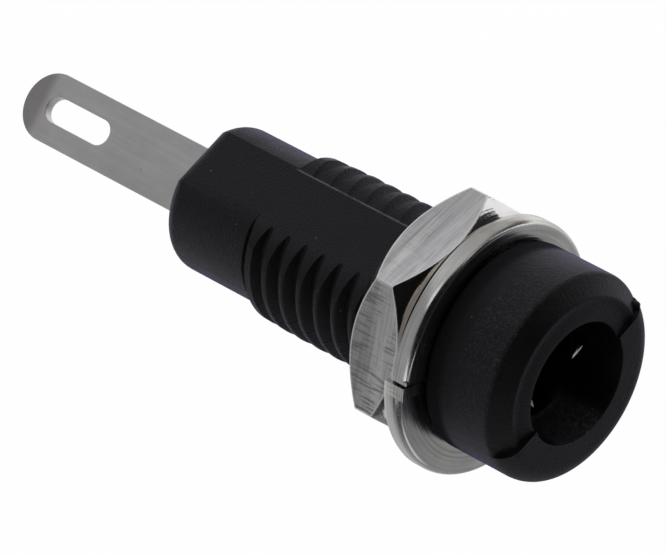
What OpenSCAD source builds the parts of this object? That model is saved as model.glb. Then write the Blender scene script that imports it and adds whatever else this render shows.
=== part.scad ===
// Panel banana socket: a moulded insulating body with a threaded, double-flatted stem,
// a formed spring contact with a solder lug, a split lock washer and a hex nut.
// The plug goes in along +Y, the flats face up and down, and the head's rear face is at Y = 0.
// Millimetres.

/* [Thread] */
// Outside diameter of the thread
thread_d = 7.9; // [7.2:0.05:9]
// Distance from one thread ridge to the next
thread_pitch = 1.058; // [1:0.001:1.4]
// Depth of the thread grooves
thread_depth = 0.49; // [0.4:0.01:0.55]
// Width of the flat top of a ridge
thread_crest = 0.38; // [0.2:0.01:0.4]
// Half of the angle between the two sides of a groove
thread_flank_angle = 30; // [25:0.5:35]
// Distance from the plain barrel to the middle of the first ridge
thread_lead = 0.56; // [0.48:0.01:0.9]
// Ridges on the stem, counted forward from the plain barrel
thread_ridges = 11; // [9:1:12]
// How much lower the ridge next to the plain barrel is
thread_run_in = 0.1; // [0:0.01:0.15]
// Radial play between the nut and the thread
thread_play = 0.1; // [0.06:0.01:0.16]

/* [Body] */
// Diameter of the head
head_d = 9.8; // [9.4:0.05:12]
// Length of the head, from the panel side to the raised half of the rim
head_length = 4.45; // [4.2:0.05:6]
// How far the lower half of the rim stands back from the raised half
rim_step = 0.25; // [0.1:0.01:0.5]
// Radius of the outer edge of the rim
rim_edge = 1; // [0.5:0.05:1]
// Diameter of the mouth of the plug hole
mouth_d = 5.72; // [5.5:0.01:6]
// Diameter of the plain barrel behind the thread
barrel_d = 7; // [6.8:0.05:7.2]
// Distance from the head's rear face to the plain barrel
barrel_start = 12.45; // [12:0.05:16]
// Length of the plain barrel
barrel_length = 5.1; // [5:0.05:8]
// Rounding of the rear end of the barrel
barrel_edge = 0.8; // [0.3:0.05:1]
// Distance across the two flats of the stem
flats_across = 6.25; // [6:0.05:6.6]
// Thickness of the wall that closes the rear of the barrel
end_wall = 2; // [1.5:0.05:3]

/* [Contact] */
// Thickness of the strip that the contact is formed from
stock = 0.5; // [0.4:0.01:0.55]
// Inside diameter of the sleeve, for a 4 mm plug
sleeve_bore_d = 4.1; // [4:0.01:4.2]
// Distance from the raised rim back to the front edge of the sleeve
sleeve_depth = 2.3; // [1.8:0.05:3]
// Length of the sleeve
sleeve_length = 12.4; // [10:0.1:13]
// Angle left open by the slit of the sleeve
sleeve_slit = 52; // [30:1:60]
// Length of the sloping tail between the sleeve and the lug
tail_length = 2.4; // [2:0.1:3]
// Length of the tongue that joins the sleeve to the tail
tail_root = 0.9; // [0.6:0.05:1.2]
// Step from the sleeve's bore out to the inside of the thinned tongue
tongue_step = 0.2; // [0.18:0.01:0.24]
// Width of the solder lug
lug_width = 3.3; // [3:0.05:3.6]
// Length of the lug behind the body
lug_length = 12.15; // [9:0.05:16]
// Angle between the lug and the flats
lug_turn = 24; // [0:1:45]
// Length of the oblong eye in the lug
eye_length = 4; // [2:0.05:6]
// Width of the oblong eye
eye_width = 1.24; // [0.8:0.02:1.6]
// Metal left between the eye and the end of the lug
eye_edge = 1.33; // [0.8:0.01:2]
// Play of the contact in the body
contact_play = 0.03; // [0.02:0.01:0.06]

/* [Lock washer] */
// Outside diameter of the washer
washer_d = 12.05; // [11.2:0.05:13]
// Thickness of the washer
washer_thick = 0.87; // [0.6:0.01:1]
// Radial play of the washer on the thread
washer_play = 0.4; // [0.35:0.01:0.5]
// How far the two ends of the washer spring apart
washer_rise = 0.44; // [0.2:0.02:0.6]
// Width of the slit
washer_slit = 0.35; // [0.2:0.05:0.6]
// Direction of the slit around the stem
washer_slit_angle = 150; // [0:1:360]
// How far the loose washer hangs off centre
washer_sag = 0.34; // [0:0.01:0.34]
// Direction in which it hangs
washer_sag_angle = 223; // [0:1:360]
// Bevel on the outer edges
washer_bevel = 0.1; // [0.05:0.01:0.15]

/* [Nut] */
// Distance across the flats of the nut
nut_across = 10.85; // [10.6:0.05:13]
// Thickness of the nut
nut_thick = 2.67; // [2:0.01:3.5]
// Slope of the chamfer at the corners, measured from the face
nut_chamfer_angle = 45; // [30:1:50]
// Angle from the flats' width direction to a corner of the nut
nut_turn = -6.4; // [-30:0.1:30]
// Size of the bevel at each end of the threaded hole
nut_bevel = 0.4; // [0.2:0.05:0.6]
// Gap left between the washer, the head and the nut
seat_gap = 0.02; // [0:0.01:0.05]

/* [Hidden] */
$fn = 96;
// Overlap of solids that are joined, and reach of cuts past a surface
lap = 0.2;
// Overlap of the two halves of the washer
seam_lap = 0.02;
thread_r = thread_d / 2;
root_r = thread_r - thread_depth;
flank_length = thread_depth * tan(thread_flank_angle);
ridge_base = thread_crest + 2 * flank_length;
head_r = head_d / 2;
barrel_r = barrel_d / 2;
body_end = barrel_start + barrel_length;
mouth_r = mouth_d / 2;
sleeve_in_r = sleeve_bore_d / 2;
sleeve_out_r = sleeve_in_r + stock;
sleeve_front = sleeve_depth - head_length;
sleeve_end = sleeve_front + sleeve_length;
seat_r = sleeve_out_r + contact_play;
sleeve_mid_r = sleeve_in_r + stock / 2;
// The tongue narrows the sleeve's wall to the width of the lug
tongue_angle = 2 * asin(lug_width / 2 / sleeve_out_r);
// Height of the flat strip where it leaves the tongue: its edges lie in the middle of the round wall
tail_mid = sqrt(pow(sleeve_mid_r, 2) - pow(lug_width / 2, 2));
strip_start = sleeve_end + tail_root / 4;
tail_start = sleeve_end + tail_root;
tail_end = tail_start + tail_length;
pocket_end = body_end - end_wall;
lug_end = body_end + lug_length;
washer_r = washer_d / 2;
washer_bore_r = thread_r + washer_play;
washer_mid_r = (washer_r + washer_bore_r) / 2;
washer_tilt = atan(washer_rise / 2 / (washer_mid_r + washer_r));
nut_front = washer_thick + washer_rise + 2 * seat_gap;
nut_end = nut_front + nut_thick;
nut_corner_r = nut_across / sqrt(3);

// Stands children built along +Z along +Y instead
module on_axis() {
  rotate([-90, 0, 0]) children();
}

// Turns children about the axis, from +X towards +Z
module turned(angle) {
  rotate([0, -angle, 0]) children();
}

// Extrudes an outline drawn in Y and Z to both sides of X = 0
module across(width) {
  rotate([90, 0, 90]) linear_extrude(width, center = true) children();
}

// Half of the ridged stem outline, radius against length; play widens it for the nut
module thread_outline(play) {
  floor_r = root_r + play;
  translate([0, -lap]) square([floor_r, barrel_start + 2 * lap]);
  for (i = [0 : thread_ridges - 1]) {
    middle = barrel_start - thread_lead - thread_pitch * i;
    crest_r = thread_r + play - (i == 0 ? thread_run_in : 0);
    polygon([
      [floor_r - lap, middle - ridge_base / 2],
      [floor_r, middle - ridge_base / 2],
      [crest_r, middle - thread_crest / 2],
      [crest_r, middle + thread_crest / 2],
      [floor_r, middle + ridge_base / 2],
      [floor_r - lap, middle + ridge_base / 2]
    ]);
  }
}

// Half of the plain barrel with its rounded rear edge
module barrel_outline() {
  translate([0, barrel_start]) square([barrel_r, barrel_length - barrel_edge]);
  translate([0, barrel_start]) square([barrel_r - barrel_edge, barrel_length]);
  translate([barrel_r - barrel_edge, body_end - barrel_edge]) circle(barrel_edge);
}

// Side view of the flatted stem: straight flats that round off at the rear end
module flats_outline() {
  half = flats_across / 2;
  translate([-lap, -half]) square([body_end + lap - barrel_edge, flats_across]);
  translate([-lap, barrel_edge - half]) square([body_end + lap, flats_across - 2 * barrel_edge]);
  for (side = [-1, 1])
    translate([body_end - barrel_edge, side * (half - barrel_edge)]) circle(barrel_edge);
}

// Section of one half of the head: a flat rim with a rounded outer edge
module rim_outline(front) {
  translate([0, front]) square([head_r - rim_edge, -front]);
  translate([0, front + rim_edge]) square([head_r, -front - rim_edge]);
  translate([head_r - rim_edge, front + rim_edge]) circle(rim_edge);
}

// The half below the mould's parting plane stands higher than the other one
module head() {
  on_axis() rotate_extrude(angle = 180) rim_outline(-head_length);
  on_axis() rotate([0, 0, 180]) rotate_extrude(angle = 180) rim_outline(rim_step - head_length);
}

module stem() {
  intersection() {
    on_axis() rotate_extrude() {
      thread_outline(0);
      barrel_outline();
    }
    across(2 * thread_d) flats_outline();
  }
}

// Hollow of the body: the mouth, the seat of the sleeve and the slit for the lug
module hollow() {
  on_axis() rotate_extrude() {
    translate([0, -head_length - lap]) square([mouth_r, sleeve_depth + lap]);
    translate([0, sleeve_front - lap]) square([seat_r, pocket_end - sleeve_front + lap]);
  }
  slit_width = lug_width + 2 * contact_play;
  slit_height = stock + 2 * contact_play;
  turned(lug_turn)
    translate([-slit_width / 2, pocket_end - lap, -slit_height / 2])
      cube([slit_width, end_wall + 2 * lap, slit_height]);
}

module insulated_body() {
  color([0.06, 0.06, 0.065])
    difference() {
      union() {
        head();
        stem();
      }
      hollow();
    }
}

// Part of the sleeve's round wall, centred on +Z, from front to rear and from in_r out
module wall_arc(angle, in_r, front, rear) {
  on_axis()
    rotate([0, 0, -90 - angle / 2])
      rotate_extrude(angle = angle)
        translate([in_r, front]) square([sleeve_out_r - in_r, rear - front]);
}

// Side view of the strip from the tongue behind the sleeve to the tip of the lug
module strip_outline() {
  half = stock / 2;
  polygon([
    [strip_start, tail_mid - half],
    [tail_start, tail_mid - half],
    [tail_end, -half],
    [lug_end, -half],
    [lug_end, half],
    [tail_end, half],
    [tail_start, tail_mid + half],
    [strip_start, tail_mid + half]
  ]);
}

// Top view of the strip with its round tip and oblong eye
module strip_plan() {
  half = lug_width / 2;
  eye_half = eye_width / 2;
  eye_rear = lug_end - eye_edge - eye_half;
  eye_front = eye_rear - eye_length + eye_width;
  difference() {
    union() {
      translate([-half, sleeve_front]) square([lug_width, lug_end - half - sleeve_front]);
      translate([0, lug_end - half]) circle(half);
    }
    translate([-eye_half, eye_front]) square([eye_width, eye_rear - eye_front]);
    for (y = [eye_front, eye_rear]) translate([0, y]) circle(eye_half);
  }
}

module contact() {
  color([0.6, 0.58, 0.57])
    turned(lug_turn) {
      wall_arc(360 - sleeve_slit, sleeve_in_r, sleeve_front, sleeve_end);
      wall_arc(tongue_angle, sleeve_in_r + tongue_step, sleeve_end - lap, tail_start);
      intersection() {
        across(lug_width + lap) strip_outline();
        linear_extrude(2 * sleeve_bore_d, center = true) strip_plan();
      }
    }
}

// Flat bevelled ring with a slit along +X, its middle plane at Y = 0
module split_ring() {
  half = washer_thick / 2;
  difference() {
    on_axis() rotate_extrude()
      polygon([
        [washer_bore_r, -half],
        [washer_r - washer_bevel, -half],
        [washer_r, washer_bevel - half],
        [washer_r, half - washer_bevel],
        [washer_r - washer_bevel, half],
        [washer_bore_r, half]
      ]);
    translate([0, -washer_thick, -washer_slit / 2])
      cube([washer_d, 2 * washer_thick, washer_slit]);
  }
}

// One half of the ring, leaning about the point opposite the slit; side +1 is the half towards +Z
module leaning_half(side) {
  reach = 2 * washer_d;
  translate([-washer_mid_r, 0, 0])
    rotate([0, 0, side * washer_tilt])
      translate([washer_mid_r, 0, 0])
        intersection() {
          split_ring();
          translate([-reach / 2, -reach / 2, side > 0 ? -seam_lap : seam_lap - reach])
            cube([reach, reach, reach]);
        }
}

module lock_washer() {
  color([0.62, 0.63, 0.61])
    turned(washer_sag_angle) translate([washer_sag, 0, 0])
      turned(washer_slit_angle - washer_sag_angle)
        translate([0, nut_front / 2, 0]) {
          leaning_half(1);
          leaning_half(-1);
        }
}

// Section of the nut's chamfered envelope
module nut_outline() {
  face_r = nut_across / 2;
  wide = nut_corner_r + lap;
  wide_drop = (wide - face_r) * tan(nut_chamfer_angle);
  polygon([
    [0, nut_front],
    [face_r, nut_front],
    [wide, nut_front + wide_drop],
    [wide, nut_end - wide_drop],
    [face_r, nut_end],
    [0, nut_end]
  ]);
}

// Bevels that open the threaded hole at both faces
module nut_bevels() {
  open_r = thread_r + thread_play + nut_bevel;
  polygon([
    [0, nut_front - lap],
    [open_r, nut_front - lap],
    [open_r, nut_front],
    [open_r - nut_bevel, nut_front + nut_bevel],
    [0, nut_front + nut_bevel]
  ]);
  polygon([
    [0, nut_end + lap],
    [open_r, nut_end + lap],
    [open_r, nut_end],
    [open_r - nut_bevel, nut_end - nut_bevel],
    [0, nut_end - nut_bevel]
  ]);
}

module hex_nut() {
  color([0.66, 0.66, 0.67])
    difference() {
      intersection() {
        turned(nut_turn) on_axis() translate([0, 0, nut_front])
          cylinder(nut_thick, nut_corner_r, nut_corner_r, $fn = 6);
        on_axis() rotate_extrude() nut_outline();
      }
      on_axis() rotate_extrude() thread_outline(thread_play);
      on_axis() rotate_extrude() nut_bevels();
    }
}

insulated_body();
contact();
lock_washer();
hex_nut();
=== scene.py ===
"""Dresses the panel banana socket: its moulded body, contact, lock washer and nut, in soft light."""

import logging
import math
from collections.abc import Mapping, Sequence
from dataclasses import dataclass, field
from enum import Enum
from typing import Any

import bpy
from mathutils import Matrix, Vector


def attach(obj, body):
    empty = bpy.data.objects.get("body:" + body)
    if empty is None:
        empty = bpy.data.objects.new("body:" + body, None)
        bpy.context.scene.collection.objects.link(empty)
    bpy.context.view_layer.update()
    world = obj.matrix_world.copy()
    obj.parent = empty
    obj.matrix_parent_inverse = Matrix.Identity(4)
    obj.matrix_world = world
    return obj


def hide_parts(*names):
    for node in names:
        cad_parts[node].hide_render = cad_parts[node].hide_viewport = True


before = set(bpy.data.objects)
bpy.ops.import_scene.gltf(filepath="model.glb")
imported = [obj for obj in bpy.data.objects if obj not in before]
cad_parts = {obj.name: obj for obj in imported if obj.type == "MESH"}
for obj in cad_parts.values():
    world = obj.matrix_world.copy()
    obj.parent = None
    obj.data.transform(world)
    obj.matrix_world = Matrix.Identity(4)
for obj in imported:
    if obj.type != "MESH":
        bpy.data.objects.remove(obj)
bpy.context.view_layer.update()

LOG = logging.getLogger("banana_socket")
MM = 0.001
SAME_POINT = 1e-4
IMAGE_WIDTH = 666
SENSOR_WIDTH = 36.0

Point2 = tuple[float, float]
Point3 = tuple[float, float, float]
Colour = tuple[float, float, float]
# Where a mask is 0 and where it is 1.
Span = tuple[float, float]


class Join(Enum):
    """How a second solid changes the first."""

    ADD = "UNION"
    CUT = "DIFFERENCE"
    KEEP = "INTERSECT"


def arc(centre: Point2, radius: float, start: float, end: float, steps: int) -> list[Point2]:
    """Points on part of a circle.

    Args:
        centre: Middle of the circle.
        radius: Its radius.
        start: First angle in degrees, from the first axis towards the second.
        end: Last angle in degrees.
        steps: Number of chords.

    Returns:
        The points, both ends included.
    """
    angles = [math.radians(start + (end - start) * i / steps) for i in range(steps + 1)]
    return [(centre[0] + radius * math.cos(a), centre[1] + radius * math.sin(a)) for a in angles]


def oblong(inner: float, outer: float, front: float, rear: float) -> list[Point2]:
    """Corners of a rectangular section, as radius and length."""
    return [(inner, front), (outer, front), (outer, rear), (inner, rear)]


class Bench:
    """Modelling moves that the sub-assemblies share; every length is in millimetres."""

    @staticmethod
    def pick(*pieces: bpy.types.Object) -> None:
        """Selects only these pieces and makes the first one active."""
        if bpy.context.object is not None and bpy.context.object.mode != "OBJECT":
            bpy.ops.object.mode_set(mode="OBJECT")
        bpy.ops.object.select_all(action="DESELECT")
        for piece in pieces:
            piece.select_set(True)
        if pieces:
            bpy.context.view_layer.objects.active = pieces[0]

    @classmethod
    def pick_bare(cls, piece: bpy.types.Object) -> None:
        """Picks a piece with none of its points, edges and faces selected."""
        cls.pick(piece)
        for item in (*piece.data.vertices, *piece.data.edges, *piece.data.polygons):
            item.select = False

    @staticmethod
    def edit_all() -> None:
        """Enters edit mode with the whole mesh selected."""
        bpy.ops.object.mode_set(mode="EDIT")
        bpy.ops.mesh.select_all(action="SELECT")

    @staticmethod
    def named(name: str) -> bpy.types.Object:
        """Names the primitive that was added last."""
        piece = bpy.context.object
        piece.name = piece.data.name = name
        return piece

    @staticmethod
    def settle() -> None:
        """Moves the place, turn and scale of the picked piece into its mesh."""
        bpy.ops.object.transform_apply(location=True, rotation=True, scale=True)

    @classmethod
    def modify(cls, piece: bpy.types.Object, kind: str, settings: Mapping[str, Any]) -> None:
        """Picks a piece and applies one modifier to it.

        Args:
            piece: Piece that changes.
            kind: Blender's name of the modifier type.
            settings: Properties of the modifier.
        """
        cls.pick(piece)
        step = piece.modifiers.new("step", kind)
        for key, value in settings.items():
            setattr(step, key, value)
        bpy.ops.object.modifier_apply(modifier=step.name)

    @classmethod
    def wire(cls, name: str, points: Sequence[Point3], closed: bool) -> bpy.types.Object:
        """Draws a wire by extruding one point along a path.

        Args:
            name: Name of the new piece.
            points: Corners of the path.
            closed: Whether the last corner is joined to the first.

        Returns:
            The wire as a mesh of edges.
        """
        cls.pick()
        bpy.ops.mesh.primitive_plane_add(size=1.0)
        piece = cls.named(name)
        cls.edit_all()
        bpy.ops.mesh.merge(type="CENTER")
        bpy.ops.transform.translate(value=points[0])
        for here, there in zip(points, points[1:]):
            step = tuple(b - a for a, b in zip(here, there))
            bpy.ops.mesh.extrude_vertices_move(TRANSFORM_OT_translate={"value": step})
        if closed:
            bpy.ops.object.mode_set(mode="OBJECT")
            ends = (Vector(points[0]), Vector(points[-1]))
            for vertex in piece.data.vertices:
                vertex.select = any((vertex.co - end).length < SAME_POINT for end in ends)
            bpy.ops.object.mode_set(mode="EDIT")
            bpy.ops.mesh.edge_face_add()
        bpy.ops.object.mode_set(mode="OBJECT")
        return piece

    @classmethod
    def close(cls, piece: bpy.types.Object) -> None:
        """Merges doubled points, fills open ends and turns the faces outwards."""
        cls.pick(piece)
        cls.edit_all()
        bpy.ops.mesh.remove_doubles(threshold=SAME_POINT)
        bpy.ops.mesh.fill_holes(sides=0)
        bpy.ops.mesh.select_all(action="SELECT")
        bpy.ops.mesh.normals_make_consistent(inside=False)
        bpy.ops.object.mode_set(mode="OBJECT")

    @classmethod
    def lathe(
        cls,
        name: str,
        section: Sequence[Point2],
        closed: bool,
        turn: float = 360.0,
        steps: int = 144,
    ) -> bpy.types.Object:
        """Spins a section around the socket's axis.

        Args:
            name: Name of the new piece.
            section: Radius and length of each corner.
            closed: Whether the section is a closed loop; an open one ends on the axis.
            turn: Angle in degrees, from +X towards +Z.
            steps: Number of faces around.

        Returns:
            The closed solid.
        """
        piece = cls.wire(name, [(r, y, 0.0) for r, y in section], closed)
        cls.edit_all()
        bpy.ops.mesh.spin(steps=steps, angle=math.radians(turn), center=(0, 0, 0), axis=(0, 1, 0))
        cls.close(piece)
        return piece

    @classmethod
    def coil(
        cls,
        name: str,
        section: Sequence[Point2],
        rise: float,
        turns: float,
        steps: int,
    ) -> bpy.types.Object:
        """Winds a closed section into a right-handed helix that starts on the +X side.

        Args:
            name: Name of the new piece.
            section: Radius and length of each corner at the start.
            rise: Travel along the axis over the whole winding.
            turns: Number of turns.
            steps: Number of faces along the whole winding.

        Returns:
            The closed solid.
        """
        piece = cls.wire(name, [(r, y, 0.0) for r, y in section], True)
        settings = {
            "axis": "Y",
            "angle": math.tau * turns,
            "screw_offset": rise,
            "steps": steps,
            "render_steps": steps,
            "iterations": 1,
        }
        cls.modify(piece, "SCREW", settings)
        cls.close(piece)
        return piece

    @classmethod
    def prism(cls, name: str, outline: Sequence[Point3], along: Point3) -> bpy.types.Object:
        """Extrudes a closed flat outline.

        Args:
            name: Name of the new piece.
            outline: Corners of the outline.
            along: Way and length of the extrusion.

        Returns:
            The closed solid.
        """
        piece = cls.wire(name, outline, True)
        cls.edit_all()
        bpy.ops.mesh.edge_face_add()
        bpy.ops.mesh.extrude_region_move(TRANSFORM_OT_translate={"value": along})
        cls.close(piece)
        return piece

    @classmethod
    def block(cls, name: str, low: Point3, high: Point3) -> bpy.types.Object:
        """Adds a box between two corners.

        Args:
            name: Name of the new piece.
            low: Corner with the smallest coordinates.
            high: Corner with the largest ones.

        Returns:
            The box, with its place in its mesh.
        """
        cls.pick()
        middle = [(a + b) / 2 for a, b in zip(low, high)]
        bpy.ops.mesh.primitive_cube_add(size=1.0, location=middle)
        piece = cls.named(name)
        piece.scale = [b - a for a, b in zip(low, high)]
        cls.settle()
        return piece

    @classmethod
    def crumb(
        cls,
        name: str,
        middle: Sequence[float],
        size: Point3,
        segments: int,
        turn: Sequence[float] = (0.0, 0.0, 0.0),
    ) -> bpy.types.Object:
        """Adds a small stretched ball.

        Args:
            name: Name of the new piece.
            middle: Its middle.
            size: Half of its width along each of its own axes.
            segments: Number of faces around.
            turn: Turn of its axes in radians.

        Returns:
            The ball, with its place in its mesh.
        """
        cls.pick()
        bpy.ops.mesh.primitive_uv_sphere_add(
            segments=segments, ring_count=10, radius=1.0, location=middle, rotation=turn
        )
        piece = cls.named(name)
        piece.scale = size
        cls.settle()
        return piece

    @classmethod
    def combine(cls, piece: bpy.types.Object, tool: bpy.types.Object, way: Join) -> None:
        """Adds or cuts one solid with another, which is used up.

        Args:
            piece: Solid that changes.
            tool: Solid that it is combined with.
            way: What happens to the two.
        """
        settings = {"operation": way.value, "solver": "MANIFOLD", "object": tool}
        cls.modify(piece, "BOOLEAN", settings)
        bpy.data.objects.remove(tool)

    @classmethod
    def turn(cls, piece: bpy.types.Object, angle: float) -> None:
        """Turns a piece about the socket's axis by degrees, from +X towards +Z."""
        cls.pick(piece)
        piece.rotation_euler = (0.0, -math.radians(angle), 0.0)
        cls.settle()

    @classmethod
    def soften(cls, piece: bpy.types.Object, width: float, segments: int, angle: float) -> None:
        """Rounds the edges that are sharper than an angle.

        Args:
            piece: Piece to soften.
            width: Size of the rounding.
            segments: Faces across the rounding.
            angle: Smallest angle in degrees that is rounded.
        """
        settings = {
            "width": width,
            "segments": segments,
            "limit_method": "ANGLE",
            "angle_limit": math.radians(angle),
            "use_clamp_overlap": True,
        }
        cls.modify(piece, "BEVEL", settings)

    @classmethod
    def hand_over(cls, piece: bpy.types.Object, angle: float, node: str, slot: str) -> None:
        """Brings a finished piece to metres, smooths it and sets it in the place of its CAD node.

        Args:
            piece: Finished piece in millimetres.
            angle: Edges sharper than this many degrees stay sharp.
            node: CAD node that it replaces.
            slot: Material slot in the record; not used.
        """
        cls.close(piece)
        piece.scale = (MM, MM, MM)
        cls.settle()
        bpy.ops.object.shade_smooth_by_angle(angle=math.radians(angle))
        cls.modify(piece, "WEIGHTED_NORMAL", {"keep_sharp": True})
        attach(piece, "root")
        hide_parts(node)
        LOG.info("%s: %d faces", piece.name, len(piece.data.polygons))


@dataclass(frozen=True)
class Value:
    """A socket that takes part in arithmetic."""

    nodes: "Nodes"
    socket: bpy.types.NodeSocket

    def __add__(self, other: "Term") -> "Value":
        """Sum."""
        return self.nodes.math("ADD", self, other)

    __radd__ = __add__

    def __mul__(self, other: "Term") -> "Value":
        """Product."""
        return self.nodes.math("MULTIPLY", self, other)

    __rmul__ = __mul__

    def __sub__(self, other: "Term") -> "Value":
        """Difference."""
        return self.nodes.math("SUBTRACT", self, other)

    def __rsub__(self, other: "Term") -> "Value":
        """Difference from a number."""
        return self.nodes.math("SUBTRACT", other, self)

    def __abs__(self) -> "Value":
        """Size without sign."""
        return self.nodes.math("ABSOLUTE", self)


Term = Value | float
Settings = Mapping[str, Any]
Sockets = Mapping[str | int, Any]


class Nodes:
    """The nodes of one material or of the world."""

    def __init__(self, tree: bpy.types.NodeTree) -> None:
        """Takes over a tree with its standard nodes."""
        self.tree = tree

    def add(
        self, kind: str, settings: Settings | None = None, sockets: Sockets | None = None
    ) -> bpy.types.Node:
        """Adds a node.

        Args:
            kind: Blender's name of the node type.
            settings: Properties of the node, set first.
            sockets: Values or links of its inputs.

        Returns:
            The node.
        """
        node = self.tree.nodes.new(kind)
        for key, value in (settings or {}).items():
            setattr(node, key, value)
        self.feed(node, sockets or {})
        return node

    def value(self, kind: str, settings: Settings, sockets: Sockets, output: str | int) -> Value:
        """Adds a node for one of its outputs.

        Args:
            kind: Blender's name of the node type.
            settings: Properties of the node, set first.
            sockets: Values or links of its inputs.
            output: Name or number of the output.

        Returns:
            The output.
        """
        return Value(self, self.add(kind, settings, sockets).outputs[output])

    def feed(self, node: bpy.types.Node, sockets: Sockets) -> None:
        """Links values to a node's inputs, or sets constants on them."""
        for key, value in sockets.items():
            if isinstance(value, Value):
                self.tree.links.new(value.socket, node.inputs[key])
            else:
                node.inputs[key].default_value = value

    def show(self, shader: Value) -> None:
        """Makes a shader the surface of the material."""
        self.feed(self.tree.nodes["Material Output"], {"Surface": shader})

    def math(self, operation: str, *terms: Term) -> Value:
        """Adds one Math node on values or numbers."""
        return self.value("ShaderNodeMath", {"operation": operation}, dict(enumerate(terms)), 0)

    def seen(self) -> Value:
        """A mask that is 1 for the eye, for reflections and for what shows through."""
        path = self.add("ShaderNodeLightPath")
        kinds = ("Is Camera Ray", "Is Glossy Ray", "Is Transmission Ray")
        eye, mirror, glass = (Value(self, path.outputs[kind]) for kind in kinds)
        return self.math("MAXIMUM", self.math("MAXIMUM", eye, mirror), glass)


class Graph(Nodes):
    """The nodes of one finish, on Object coordinates in millimetres."""

    def __init__(self, name: str) -> None:
        """Starts a material with its shader."""
        self.material = bpy.data.materials.new(name)
        self.material.use_nodes = True
        super().__init__(self.material.node_tree)
        self.shader = self.tree.nodes["Principled BSDF"]
        place = self.value("ShaderNodeTexCoord", {}, {}, "Object")
        self.place = self.mapped(place, (1 / MM,) * 3)
        split = self.add("ShaderNodeSeparateXYZ", {}, {"Vector": self.place})
        self.x, self.y, self.z = (Value(self, axis) for axis in split.outputs)

    def mapped(self, place: Value, scale: Point3, offset: Point3 = (0.0, 0.0, 0.0)) -> Value:
        """A place with each axis scaled and moved."""
        sockets = {"Vector": place, "Scale": scale, "Location": offset}
        return self.value("ShaderNodeMapping", {}, sockets, "Vector")

    def joined(self, x: Term, y: Term, z: Term) -> Value:
        """A place made of three values."""
        return self.value("ShaderNodeCombineXYZ", {}, {0: x, 1: y, 2: z}, 0)

    def length(self, x: Value, z: Value) -> Value:
        """Distance from an axis along Y, from its two parts."""
        return self.math("SQRT", x * x + z * z)

    def fade(self, value: Value, low: float, high: float) -> Value:
        """A smooth step from 0 at low to 1 at high; low may be the larger one."""
        settings = {"interpolation_type": "SMOOTHSTEP", "clamp": True}
        sockets = {"Value": value, "From Min": low, "From Max": high}
        return self.value("ShaderNodeMapRange", settings, sockets, "Result")

    def noise(self, scale: float, detail: float, place: Value | None = None) -> Value:
        """Soft noise around one half.

        Args:
            scale: Spots per millimetre of the place.
            detail: Number of finer layers.
            place: Place to use; the plain one if left out.

        Returns:
            The noise.
        """
        sockets = {"Vector": place or self.place, "Scale": scale, "Detail": detail}
        return self.value("ShaderNodeTexNoise", {"noise_dimensions": "3D"}, sockets, 0)

    def streaks(self, scale: Point3, detail: float, offset: Point3 = (0.0, 0.0, 0.0)) -> Value:
        """Noise that is stretched into streaks.

        Args:
            scale: Spots per millimetre along each axis.
            detail: Number of finer layers.
            offset: Where in the noise to start.

        Returns:
            The noise.
        """
        return self.noise(1.0, detail, self.mapped(self.place, scale, offset))

    def grains(self, scale: float, size: float, share: float) -> Value:
        """Scattered round specks.

        Args:
            scale: Cells per millimetre.
            size: Radius of a speck as a part of a cell.
            share: Part of the cells that hold one.

        Returns:
            A mask, 1 in the specks.
        """
        cells = self.add("ShaderNodeTexVoronoi", {}, {"Vector": self.place, "Scale": scale})
        colour = Value(self, cells.outputs["Color"])
        chance = self.value("ShaderNodeSeparateColor", {}, {"Color": colour}, 0)
        dot = self.fade(Value(self, cells.outputs["Distance"]), size, size * 0.5)
        return dot * self.math("LESS_THAN", chance, share)

    def blend(self, factor: Value, first: Colour | Value, second: Colour | Value) -> Value:
        """Mixes two colours.

        Args:
            factor: Share of the second colour.
            first: Colour where the factor is 0.
            second: Colour where it is 1.

        Returns:
            The mixed colour.
        """
        ends = [c if isinstance(c, Value) else (*c, 1.0) for c in (first, second)]
        settings = {"data_type": "RGBA", "blend_type": "MIX", "clamp_factor": True}
        return self.value("ShaderNodeMix", settings, {0: factor, 6: ends[0], 7: ends[1]}, 2)

    def surface(self, sockets: Sockets, height: Value, depth: float) -> None:
        """Sets the shader's inputs and bumps the surface.

        Args:
            sockets: Values or links of the shader's inputs.
            height: Height map of the relief.
            depth: Depth of the relief in millimetres.
        """
        relief = {"Height": height, "Distance": depth * MM, "Strength": 1.0}
        normal = self.value("ShaderNodeBump", {}, relief, "Normal")
        self.feed(self.shader, {**sockets, "Normal": normal})

    def coat(self, piece: bpy.types.Object) -> None:
        """Makes this the only material of a piece."""
        piece.data.materials.clear()
        piece.data.materials.append(self.material)


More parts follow.
